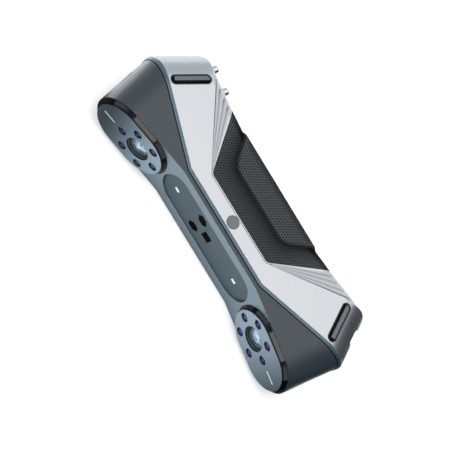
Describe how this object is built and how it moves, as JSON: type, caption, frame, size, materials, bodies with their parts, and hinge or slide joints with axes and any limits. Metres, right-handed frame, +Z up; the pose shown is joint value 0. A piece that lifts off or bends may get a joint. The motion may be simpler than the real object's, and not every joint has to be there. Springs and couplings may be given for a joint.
{
  "type": "hand-held three-dimensional scanner",
  "caption": "Slim hand-held 3-D scanner with two toed-in camera pods, a light plate in the waist, a silver shell, a rubber grip and three sprung keys.",
  "frame": {"origin": "mouth of the tripod socket, on the underside at mid-length", "axes": "+X along the scanner, +Y from the front with the cameras to the back with the grip, +Z up through the two silver faces"},
  "size_m": [0.2168, 0.0732, 0.043],
  "materials": {
    "silver_shell": "satin",
    "blue_grey": "satin",
    "dark_grey": "satin",
    "gloss_black": "gloss",
    "plate_grey": "satin",
    "black_glass": "gloss",
    "white_lens": "translucent",
    "black_metal": "satin",
    "lens_glass": "gloss",
    "blue_resin": "gloss",
    "board": "satin",
    "bench_metal": "satin",
    "rubber": "matt",
    "disc_plastic": "satin",
    "chrome": "polished",
    "brass": "satin",
    "steel": "satin"
  },
  "bodies": {
    "housing": {"rear_shell": "silver_shell", "seam_band": "blue_grey", "body_shell": "dark_grey", "front_bezel": "blue_grey", "projector_plate": "plate_grey", "leaf_windows": "black_glass", "camera_window": "black_glass", "slim_light_window": "white_lens", "square_light_window": "white_lens", "left_pod_rim": "gloss_black", "right_pod_rim": "gloss_black", "left_pod_face": "blue_grey", "right_pod_face": "blue_grey", "left_camera_barrel": "black_metal", "right_camera_barrel": "black_metal", "left_lens": "lens_glass", "right_lens": "lens_glass", "left_light_domes": "blue_resin", "right_light_domes": "blue_resin", "left_light_board": "board", "right_light_board": "board", "left_light_strip": "white_lens", "right_light_strip": "white_lens", "left_sensor_board": "board", "right_sensor_board": "board", "optical_bench": "bench_metal", "line_light_modules": "brass", "colour_camera": "black_metal", "grip": "rubber", "button_board": "board", "key_board": "board", "key_board_screw": "steel", "left_strap_cups": "gloss_black", "right_strap_cups": "gloss_black", "cable_port": "steel", "port_board": "board", "port_nuts": "brass", "tripod_insert": "brass", "main_board": "board", "board_standoffs": "steel", "bench_screws": "steel", "board_screws": "steel"},
    "disc": {"side_button": "disc_plastic"},
    "key_outer": {"outer_key": "chrome"},
    "key_inner": {"inner_key": "chrome"}
  },
  "joints": [
    {"name": "side_button_press", "type": "slide", "parent": "housing", "child": "disc", "axis": [0, 0, -1], "range_m": [0, 0.0006], "stiffness_N_per_m": 1500, "springref_m": -0.0006},
    {"name": "outer_key_press", "type": "slide", "parent": "housing", "child": "key_outer", "axis": [-0.1357, -0.9907, 0], "range_m": [0, 0.0006], "stiffness_N_per_m": 1500, "springref_m": -0.0006},
    {"name": "inner_key_press", "type": "slide", "parent": "housing", "child": "key_inner", "axis": [-0.1357, -0.9907, 0], "range_m": [0, 0.0006], "stiffness_N_per_m": 1500, "springref_m": -0.0006}
  ]
}
